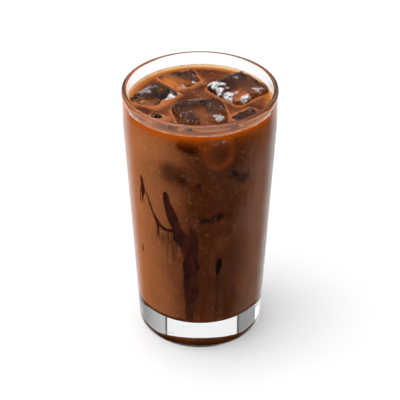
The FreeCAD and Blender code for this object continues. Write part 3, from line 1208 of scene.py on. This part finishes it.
def climb_ice(points, vessel, cubes, drink):
    """Lifts the open surface where it meets ice, by an amount that falls off with distance."""
    top = points[:, 2] > vessel.level - 0.1 * MM
    lift = np.zeros(top.sum())
    for cube in cubes.values():
        gap = np.maximum(cube.distance(points[top]), 0)
        lift = np.maximum(lift, drink.ice_rise * np.exp(-gap / drink.ice_reach))
    wall_gap = vessel.inside(vessel.brim) - np.linalg.norm(points[top, :2], axis=1)
    points[top, 2] += lift * smooth_step(0, 2 * MM, wall_gap)
    return points


def with_hollows(context, mesh, cubes, bite):
    """Mesh of the coffee less the room that each cube takes, a little smaller than the ice."""
    coffee = shown("coffee", mesh)
    hollows = []
    for name, cube in cubes.items():
        grid, _ = cube.skin(60, 112, inset=bite)
        hollow = shown(f"hollow_{name}", mesh_of(f"hollow_{name}", *woven(grid[None])))
        cut = coffee.modifiers.new(name, "BOOLEAN")
        cut.operation = "DIFFERENCE"
        cut.solver = "MANIFOLD"
        cut.object = hollow
        hollows.append(hollow)
    context.view_layer.update()
    cut_mesh = bpy.data.meshes.new_from_object(
        coffee.evaluated_get(context.evaluated_depsgraph_get())
    )
    coffee.modifiers.clear()
    cut_mesh.materials.clear()
    coffee.data = cut_mesh
    for hollow in hollows:
        bpy.data.objects.remove(hollow)
    return coffee


def milk_and_light_round(bearing):
    """How light the drink is on a bearing, partly milky and partly painted light: a smooth line through a
    few bearings, most at the lit left.
    """
    return np.interp(bearing, *zip(*MILK_AND_LIGHT_ROUND))


def painted_spots_under_ice(points, nearest, names, vessel):
    """Painted light and painted shade at each point under a floating cube. A point is carried back along
    the way that light takes through the ice to the cube's top, where the spots of painted light and shade
    are."""
    rise = (points[:, 2] - vessel.level - 1 * MM) / THROUGH_ICE[2]
    top = points - rise[:, None] * np.array(THROUGH_ICE)
    light = np.zeros(len(points))
    dark = np.zeros(len(points))
    for name, x, y, radius, strength in PAINTED_SPOTS_UNDER_ICE:
        away = np.hypot(top[:, 0] - x * MM, top[:, 1] - y * MM) / (radius * MM)
        near = np.where(nearest == names.index(name), np.exp(-(away**2)), 0)
        light = light + near * max(strength, 0)
        dark = dark + near * max(-strength, 0)
    return np.clip(light, 0, 1), np.clip(dark, 0, 1)


def shade_coffee(mesh, vessel, cubes, drink):
    """Stores how milky each point is, with painted light in that share, how near the waterline and how deep
    it is, with painted light and shade, and light given off, under the ice, and gives each face the open or
    the covered finish."""
    points = places_of(mesh)
    reach = np.linalg.norm(points[:, :2], axis=1)
    bearing = np.degrees(np.arctan2(points[:, 1], points[:, 0]))
    wall_gap = np.maximum(vessel.inside(points[:, 2]) - reach, 0)
    gaps = np.stack([np.abs(cube.distance(points) + drink.bite) for cube in cubes.values()])
    ice_gap = gaps.min(axis=0)
    nearest = gaps.argmin(axis=0)
    below = np.maximum(vessel.level - points[:, 2], 0)
    on_wall = wall_gap < 0.2 * MM
    hollow = (below > 0.25 * MM) & ~on_wall & (points[:, 2] > vessel.tumbler.base + 6 * MM)

    warp = waves(points, 16 * MM, 3) * 2.0 * MM
    patch_bearing = bearing + np.degrees(warp / WALL_REACH)
    patch_height = points[:, 2] + waves(points, 14 * MM, 4) * 0.7 * MM
    sunk = np.zeros(len(points))
    for place in DARK_PATCHES:
        near = patch(bearing + (patch_bearing - bearing) * 0.4, patch_height, reach, place)
        sunk = np.maximum(sunk, near)
    pale = np.zeros(len(points))
    for place in PALE_PATCHES:
        pale = np.maximum(pale, patch(patch_bearing, patch_height, reach, place))
    # Partly milk, partly painted light: lightest on the lit left side.
    milk_and_light = milk_and_light_round(bearing) + 0.12 * pale + 0.03 * waves(points, 20 * MM, 5)
    # Painted light: the drink is lighter just above the base, where light comes up through it.
    milk_and_light = milk_and_light + 0.12 * (1 - smooth_step(18 * MM, 26 * MM, points[:, 2]))
    near_ice = np.exp(-((ice_gap / (1.0 * MM)) ** 1.5))
    milk_and_light = np.where(on_wall, milk_and_light, 0.07 + 0.07 * waves(points, 12 * MM, 6) + 0.66 * near_ice)

    edge = np.clip(1 - wall_gap / (6 * MM), 0, 1) * (below < 0.5 * MM)
    # Painted light: the thin ring at the waterline is lighter towards the back.
    edge = edge * (0.8 + 0.2 * np.sin(np.radians(bearing)))
    edge = np.maximum(edge, 0.3 * np.exp(-ice_gap / (0.6 * MM)) * (below < 0.2 * MM))
    # Painted light on the wall: an amber band just under the waterline, from light that comes in through the
    # open surface.
    down = np.maximum(vessel.brim - points[:, 2], 0)
    line = 0.4 * np.exp(-down / (2.4 * MM)) + 0.26 * np.exp(-down / (10 * MM))
    ring_bearing, ring_height, ring_radius, ring_width, lighter = UNDER_LIP_RING
    ring = np.hypot(np.radians(bearing - ring_bearing) * reach, 0.85 * (points[:, 2] - ring_height))
    line = line + lighter * np.exp(-(((ring - ring_radius) / ring_width) ** 2))
    edge = np.where(on_wall, line, edge)
    # Painted light and painted shade seen down through the floating cubes.
    light, dark = painted_spots_under_ice(points, nearest, list(cubes), vessel)
    # Painted light: amber near the top of each hollow under the ice, fading over the first millimetres down.
    lit_rim = 0.45 * np.exp(-below / (1.3 * MM))
    edge = np.where(hollow, np.maximum(np.minimum(light, 0.5), lit_rim), edge)
    give(mesh, "milk_and_light", milk_and_light)
    give(mesh, "edge", edge)
    # Painted glow: the light spots under the ice also give off light of their own.
    give(mesh, "painted_glow", np.where(hollow, light, 0))
    # Painted shade: a dark band about 3 mm down the walls of the hollows under the ice.
    band = np.exp(-(((below - 3 * MM) / (1.8 * MM)) ** 2)) * (0.5 + 0.5 * waves(points, 3.2 * MM, 9))
    dark = np.clip(dark + 0.75 * band, 0, 1)
    # Darker where sunk ice is near the wall, and painted shade in the hollows under the ice.
    give(mesh, "sunk", np.where(on_wall, sunk, np.where(hollow, dark, 0)))
    # Painted shade: the drink turns to the darker hollow colour over the first 2 mm under the ice.
    give(mesh, "depth", np.where(hollow, smooth_step(0, 2 * MM, below), 0))

    corners = np.empty(len(mesh.loops), dtype=np.int32)
    mesh.loops.foreach_get("vertex_index", corners)
    starts = np.empty(len(mesh.polygons), dtype=np.int32)
    mesh.polygons.foreach_get("loop_start", starts)
    covered = (hollow | on_wall | (points[:, 2] < vessel.level - 0.2 * MM)).astype(np.int32)
    all_covered = np.minimum.reduceat(covered[corners], starts)
    mesh.polygons.foreach_set("material_index", all_covered.astype(np.int32))
    mesh.shade_smooth()
    mesh.set_sharp_from_angle(angle=math.radians(40))


class ICED_OT_coffee(bpy.types.Operator):
    """Make the coffee, up to its surface and round the floating ice"""

    bl_idname = "iced.coffee"
    bl_label = "Coffee"

    def execute(self, context):
        drink = context.scene.iced_drink
        vessel = current_vessel(context)
        cubes = floating_cubes(context)
        points, faces = turned(coffee_outline(vessel, drink), 320)
        mesh = mesh_of("coffee_body", climb_ice(points, vessel, cubes, drink), faces)
        coffee = with_hollows(context, mesh, cubes, drink.bite)
        if not coffee.data.polygons:
            raise RuntimeError("the coffee came out empty after the ice was cut from it")
        coffee.name = "iced_coffee"
        for material in (coffee_surface_material(drink), coffee_wall_material(drink)):
            coffee.data.materials.append(material)
        shade_coffee(coffee.data, vessel, cubes, drink)
        kept(coffee, "coffee", "coffee")
        return {"FINISHED"}


class ICED_OT_floating_ice(bpy.types.Operator):
    """Make the cubes that float at the surface"""

    bl_idname = "iced.floating_ice"
    bl_label = "Floating ice"

    def execute(self, context):
        material = ice_material()
        for name, cube in floating_cubes(context).items():
            grid, _ = cube.skin(112, 208)
            piece = shown(f"clear_{name}", mesh_of(name, *woven(grid[None])), material)
            kept(piece, "ice", name)
        return {"FINISHED"}


class ICED_OT_frost(bpy.types.Operator):
    """Make the patches of frost on the floating cubes, with painted glints along their edges"""

    bl_idname = "iced.frost"
    bl_label = "Frost"

    def execute(self, context):
        ice = context.scene.iced_ice
        grids, values, glints = [], [], []
        for name, cube in floating_cubes(context).items():
            grid, directions = cube.skin(100, 160, inset=-0.05 * MM)
            bevel = cube.bevel(grid) * smooth_step(0.1, 0.5, directions[..., 2])
            # Painted highlights: glints along the upward bevels.
            glint = bevel * np.clip(0.35 + 0.6 * waves(grid, 6 * MM, cube.seed + 70), 0, 1)
            frost = np.zeros(directions.shape[:2])
            for cube_name, bearing, elevation, half_angle, strength in FROST:
                if cube_name != name:
                    continue
                turn = np.degrees(np.arccos(np.clip(directions @ compass(bearing, elevation), -1, 1)))
                ragged = turn + 4 * waves(grid, 4 * MM, cube.seed + 90)
                spot = strength * (1 - smooth_step(0.6 * half_angle, 1.1 * half_angle, ragged))
                frost = np.maximum(frost, spot)
            grids.append(grid)
            for store, value in ((values, frost), (glints, glint)):
                store.append(grid_values(value))
        mesh = mesh_of("ice_frost", *woven(np.stack(grids)))
        give(mesh, "frost", np.concatenate(values))
        give(mesh, "glint", np.concatenate(glints))
        piece = shown("ice_frost", mesh, frost_material(ice))
        kept(piece, "ice")
        return {"FINISHED"}


class ICED_OT_sunk_ice(bpy.types.Operator):
    """Make the cubes that have sunk and touch the wall"""

    bl_idname = "iced.sunk_ice"
    bl_label = "Sunk ice"

    def execute(self, context):
        vessel = current_vessel(context)
        ice = context.scene.iced_ice
        grids, values, covers = [], [], []
        for seed, (name, (bearing, height, edges, turn)) in enumerate(SUNK_ICE.items()):
            height = height * MM
            proud, stop = SUNK_SHOWN if name == "under_lip" else SUNK_HIDDEN
            reach = vessel.inside(height) + proud - edges[1] * MM / 2
            yaw = bearing + 90 + turn[0]
            cube = Cube(compass(bearing) * reach + UP * height, edges, 2.6, (yaw, *turn[1:]), 70 + seed, ice)
            grid, directions = cube.skin(64, 112)
            radius = np.linalg.norm(grid[..., :2], axis=-1)
            proud_by = radius - vessel.inside(grid[..., 2])
            limit = vessel.inside(grid[..., 2]) + stop
            grid[..., :2] *= np.minimum(1, limit / radius)[..., None]
            # Painted highlight on the upward faces, in a pale frost colour, broken up by noise.
            frost = 0.5 + 0.5 * waves(grid, 5 * MM, 80 + seed)
            frost *= smooth_step(0.35, 0.75, directions[..., 2])
            cover = 0.4 * smooth_step(0.0, 1.1 * MM, proud_by + 0.3 * waves(grid, 7 * MM, 95) * MM)
            grids.append(grid)
            for store, value in ((values, frost), (covers, cover)):
                store.append(grid_values(value))
        mesh = mesh_of("sunk_ice", *woven(np.stack(grids)))
        give(mesh, "frost", np.concatenate(values))
        give(mesh, "cover", np.concatenate(covers))
        kept(shown("sunk_ice", mesh, sunk_ice_material()), "ice")
        return {"FINISHED"}


def syrup_run(vessel, stations, thickness, seed, rows=72, columns=24):
    """Grid of one run: a flat oval section carried down a smooth line on the wall, its half width
    swelling and closing along the way, with its edges made a little uneven."""
    bearing, height, half_width = np.array(stations).T
    steps = np.concatenate([[0], np.cumsum(np.hypot(np.diff(bearing) * DEGREE_ROUND, np.diff(height)))])
    along = np.linspace(0, steps[-1], rows)
    line = [smooth_through(steps, values, along) for values in (bearing, height, half_width)]
    uneven = 1 + 0.16 * waves(np.stack([along, 0 * along, 0 * along], axis=-1), 5.0, seed)
    width = np.maximum(line[2], 0.05) * uneven
    width[[0, -1]] = 0
    around = np.arange(columns) * TURN / columns
    across = width[:, None] * np.cos(around) * MM
    out = (0.6 + 0.4 * np.sqrt(np.minimum(width, 1)))[:, None] * np.sin(around) * thickness
    level = line[1][:, None] * MM + 0 * around
    radius = vessel.inside(level) + out
    slope = np.gradient(np.radians(line[0]) * WALL_REACH / MM, along)[:, None]
    turn = np.radians(line[0])[:, None] + across / (vessel.inside(level) * np.sqrt(1 + slope**2))
    level = level + across * slope / np.sqrt(1 + slope**2)
    grid = np.stack([radius * np.cos(turn), radius * np.sin(turn), level], axis=-1)
    cover = np.sqrt(np.clip(1 - np.cos(around) ** 2, 0, 1)) + 0 * width[:, None]
    fade = 1 - 0.45 * smooth_step(0.55, 1.0, along / along[-1])
    return grid, cover, fade[:, None] + 0 * around


def smooth_through(places, values, wanted):
    """Smooth line through values at places: cubic pieces whose slopes are those of the neighbours."""
    slopes = np.gradient(values, places)
    index = np.clip(np.searchsorted(places, wanted, side="right") - 1, 0, len(places) - 2)
    span = places[index + 1] - places[index]
    t = (wanted - places[index]) / span
    return (
        (2 * t**3 - 3 * t**2 + 1) * values[index]
        + (t**3 - 2 * t**2 + t) * span * slopes[index]
        + (3 * t**2 - 2 * t**3) * values[index + 1]
        + (t**3 - t**2) * span * slopes[index + 1]
    )


class ICED_OT_syrup(bpy.types.Operator):
    """Make the runs of syrup on the inside of the wall"""

    bl_idname = "iced.syrup"
    bl_label = "Syrup runs"

    def execute(self, context):
        syrup = context.scene.iced_syrup
        vessel = current_vessel(context)
        grids, covers, strengths, shades = [], [], [], []
        runs = list(SYRUP_RUNS.values())
        drop = list(SYRUP_RUNS).index("drop")
        for seed, stations in enumerate(runs + list(streaks())):
            grid, cover, fade = syrup_run(vessel, stations, syrup.thickness, 200 + seed)
            if seed >= len(runs):
                fade = 0.42 * fade
            grids.append(grid)
            shade = 0 * fade
            if seed == drop:
                shade = shade + 1 - smooth_step(0.25, 0.4, np.linspace(0, 1, len(fade)))[:, None]
            for store, value in ((covers, cover), (strengths, fade), (shades, shade)):
                store.append(grid_values(value))
        mesh = mesh_of("syrup_runs", *woven(np.stack(grids)))
        give(mesh, "cover", np.concatenate(covers))
        give(mesh, "strength", np.concatenate(strengths))
        give(mesh, "shade", np.concatenate(shades))
        kept(shown("syrup_runs", mesh, syrup_material(syrup)), "syrup")
        return {"FINISHED"}


def beads(centres, radii, rows, columns, flat=None):
    """Grids of small balls: sphere formula about each centre, flattened along a direction."""
    grids = ball(rows, columns)[None] * radii[:, None, None, None]
    if flat is not None:
        away, amount = flat
        height = np.einsum("nrcx,nx->nrc", grids, away)
        grids = grids - (1 - amount) * height[..., None] * away[:, None, None, :]
    return grids + centres[:, None, None, :]


class ICED_OT_foam(bpy.types.Operator):
    """Make the small bubbles along the waterline"""

    bl_idname = "iced.foam"
    bl_label = "Foam bubbles"

    def execute(self, context):
        drink = context.scene.iced_drink
        vessel = current_vessel(context)
        random = np.random.default_rng(21)
        count = drink.bubbles
        bearing = random.uniform(0, TURN, count)
        radii = random.uniform(0.12, 0.34, count) ** 1.3 * 1.5 * MM
        inset = radii * 0.8 + random.exponential(0.25, count) * MM
        reach = vessel.inside(vessel.brim) - inset
        climb = np.clip(1 - inset / drink.meniscus_width, 0, 1) ** 2 * drink.meniscus_rise
        height = vessel.level + climb + 0.15 * radii
        centres = np.stack([reach * np.cos(bearing), reach * np.sin(bearing), height], axis=-1)
        mesh = mesh_of("foam_bubbles", *woven(beads(centres, radii, 7, 10)))
        kept(shown("foam_bubbles", mesh, foam_material()), "coffee")
        return {"FINISHED"}


class ICED_OT_drops(bpy.types.Operator):
    """Make the drops of water on the outside of the glass"""

    bl_idname = "iced.drops"
    bl_label = "Water drops"

    def execute(self, context):
        mist = context.scene.iced_mist
        vessel = current_vessel(context)
        random = np.random.default_rng(33)
        tries = mist.drops * 4
        bearing = random.uniform(-180, 180, tries)
        height = random.uniform(*DROP_HEIGHTS, tries) * MM
        dense = 0.22 + 0.78 * mist_cover(bearing, height)
        chosen = random.uniform(0, 1, tries) < dense
        bearing = np.radians(bearing[chosen][: mist.drops])
        height = height[chosen][: mist.drops]
        sizes = random.uniform(0, 1, len(bearing)) ** 3.2
        radii = mist.smallest * (mist.largest / mist.smallest) ** sizes
        away = np.stack([np.cos(bearing), np.sin(bearing), 0 * bearing], axis=-1)
        centres = away * vessel.outside(height)[:, None] + UP * height[:, None]
        grids = beads(centres, radii, 5, 8, flat=(away, 0.45))
        mesh = mesh_of("water_drops", *woven(grids))
        kept(shown("water_drops", mesh, water_material()), "water")
        return {"FINISHED"}


def mist_cover(bearing, height):
    """How much mist has settled at a bearing and height: most on the side away from the light."""
    across = (bearing - 5 + 180) % 360 - 180
    side = np.exp(-(across / 42) ** 2)
    band = smooth_step(8 * MM, 30 * MM, height) * (1 - smooth_step(118 * MM, MIST_TOP, height))
    return (0.02 + 0.98 * side) * band


class ICED_OT_mist(bpy.types.Operator):
    """Make the film of mist on the outside of the glass"""

    bl_idname = "iced.mist"
    bl_label = "Mist film"

    def execute(self, context):
        mist = context.scene.iced_mist
        vessel = current_vessel(context)
        heights = np.linspace(MIST_FOOT, MIST_TOP, 72)
        outer = np.stack([vessel.outside(heights) + 0.1 * MM, heights], axis=-1)
        inner = np.stack([vessel.outside(heights[::-1]) + 0.06 * MM, heights[::-1]], axis=-1)
        grid = swept(np.vstack([outer, inner]), 180)
        rows, columns = grid.shape[:2]
        index = np.arange(rows * columns).reshape(rows, columns)
        below = np.roll(index, -1, axis=0)
        quads = np.stack(
            [index, np.roll(index, -1, axis=1), np.roll(below, -1, axis=1), below], axis=-1
        ).reshape(-1, 4)
        mesh = mesh_of("mist_film", grid.reshape(-1, 3), [quads])
        points = places_of(mesh)
        around = np.degrees(np.arctan2(points[:, 1], points[:, 0]))
        cover = mist_cover(around + 8 * waves(points, 18 * MM, 41), points[:, 2])
        give(mesh, "mist", mist.film * cover)
        kept(shown("mist_film", mesh, mist_material()), "water")
        return {"FINISHED"}


# Stage

# Brightness of the studio from left to right (0 to 1): a white screen with a dark frame.
SCREEN = (
    (0.22, 0.34), (0.268, 0.3), (0.272, 0.08), (0.28, 0.08), (0.284, 1.0),
    (0.688, 1.0), (0.692, 0.08), (0.7, 0.08), (0.704, 0.6),
)


def lamp(name, place, target, size, power):
    """Square soft light at a place, facing a target."""
    light = bpy.data.lights.new(name, "AREA")
    light.shape = "RECTANGLE"
    light.size, light.size_y = size
    light.energy = power
    holder = bpy.data.objects.new(name, light)
    bpy.context.scene.collection.objects.link(holder)
    holder.location = place
    holder.rotation_euler = (Vector(target) - Vector(place)).to_track_quat("-Z", "Y").to_euler()


def make_world(scene):
    """Studio round the object: bright behind and above, dim in front, dark at the horizon and
    light beyond the floor, with a white backdrop for the camera alone."""
    world = bpy.data.worlds.new("studio")
    world.use_nodes = True
    tree = world.node_tree
    tree.nodes.clear()
    direction = tree.nodes.new("ShaderNodeTexCoord").outputs["Generated"]
    parts = add(tree, "ShaderNodeSeparateXYZ", {0: direction})
    behind = ranged(tree, parts.outputs["Y"], -0.3, 0.3, 0.35, 1.0)
    above = ranged(tree, parts.outputs["Z"], 0.36, 0.46, 0.02, 1.0)
    beyond = ranged(tree, parts.outputs["Y"], 0.4, 0.75, 0.0, 0.9)
    beyond = maths(tree, "MULTIPLY", beyond, ranged(tree, parts.outputs["Z"], -0.2, 0.0, 1.0, 0.0))
    across = add(tree, "ShaderNodeValToRGB", {0: ranged_flat(tree, parts.outputs["X"], -1.0, 1.0)})
    stops = across.color_ramp.elements
    stops[0].position, stops[0].color = 0.0, (0.7, 0.7, 0.7, 1)
    stops[1].position, stops[1].color = 1.0, (0.28, 0.28, 0.28, 1)
    for place, level in SCREEN:
        stops.new(place).color = (level, level, level, 1)
    strength = maths(tree, "MULTIPLY", maths(tree, "MULTIPLY", behind, above), across.outputs[0])
    strength = maths(tree, "MAXIMUM", strength, beyond)
    studio = add(tree, "ShaderNodeBackground", {"Color": (1, 1, 1, 1), "Strength": strength})
    backdrop = add(tree, "ShaderNodeBackground", {"Color": (1, 1, 1, 1), "Strength": 1.0})
    seen = tree.nodes.new("ShaderNodeLightPath").outputs["Is Camera Ray"]
    shader = add(
        tree, "ShaderNodeMixShader", {0: seen, 1: studio.outputs[0], 2: backdrop.outputs[0]}
    )
    output = tree.nodes.new("ShaderNodeOutputWorld")
    tree.links.new(shader.outputs[0], output.inputs["Surface"])
    scene.world = world


class ICED_OT_stage(bpy.types.Operator):
    """Make the floor, the lights and the camera"""

    bl_idname = "iced.stage"
    bl_label = "Stage"

    def execute(self, context):
        scene = context.scene
        stage = scene.iced_stage
        side = stage.floor_reach
        level = -stage.air_gap
        corners = [(-side, -side, level), (side, -side, level), (side, side, level), (-side, side, level)]
        mesh = bpy.data.meshes.new("floor")
        mesh.from_pydata(corners, [], [(0, 1, 2, 3)])
        floor = shown("floor", mesh, floor_material(stage))
        floor.visible_glossy = False
        floor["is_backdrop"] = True

        middle = (0, 0, stage.stand_height)
        lamp("key", (-0.62, -0.1, 0.9), middle, (1.1, 1.1), 5.2)
        lamp("top", (-0.12, -0.1, 1.2), middle, (1.7, 1.7), 14.6)
        make_world(scene)
        scene.view_settings.view_transform = "Standard"

        camera = bpy.data.cameras.new("camera")
        camera.sensor_width = 36
        camera.lens = stage.lens
        holder = bpy.data.objects.new("camera", camera)
        scene.collection.objects.link(holder)
        holder.location = (
            0,
            -stage.distance * math.cos(stage.elevation),
            stage.stand_height + stage.distance * math.sin(stage.elevation),
        )
        aim = Vector((0, 0, stage.aim_height)) - holder.location
        holder.rotation_euler = aim.to_track_quat("-Z", "Y").to_euler()
        scene.camera = holder
        return {"FINISHED"}


STEPS = (
    ICED_OT_stage,
    ICED_OT_tumbler,
    ICED_OT_coffee,
    ICED_OT_floating_ice,
    ICED_OT_frost,
    ICED_OT_sunk_ice,
    ICED_OT_syrup,
    ICED_OT_foam,
    ICED_OT_drops,
    ICED_OT_mist,
)


class ICED_PT_maker(bpy.types.Panel):
    """Lists the steps that make the drink"""

    bl_idname = "ICED_PT_maker"
    bl_label = "Iced Coffee"
    bl_space_type = "VIEW_3D"
    bl_region_type = "UI"
    bl_category = "Iced Coffee"

    def draw(self, context):
        for step in STEPS:
            self.layout.operator(step.bl_idname)
        for name in SETTINGS:
            settings = getattr(context.scene, name)
            box = self.layout.box()
            for key in settings.__annotations__:
                box.prop(settings, key)


def register():
    for name, settings in SETTINGS.items():
        bpy.utils.register_class(settings)
        setattr(bpy.types.Scene, name, PointerProperty(type=settings))
    for step in STEPS:
        bpy.utils.register_class(step)
    bpy.utils.register_class(ICED_PT_maker)


def unregister():
    bpy.utils.unregister_class(ICED_PT_maker)
    for step in reversed(STEPS):
        bpy.utils.unregister_class(step)
    for name, settings in SETTINGS.items():
        delattr(bpy.types.Scene, name)
        bpy.utils.unregister_class(settings)


def main():
    """Makes everything in order."""
    register()
    for step in STEPS:
        family, name = step.bl_idname.split(".")
        getattr(getattr(bpy.ops, family), name)()
    boxes = {"cad": CAD_BOUNDS, "visual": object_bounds()}
    sizes = {name: [[float(value) for value in corner] for corner in box] for name, box in boxes.items()}


if __name__ == "__main__":
    main()
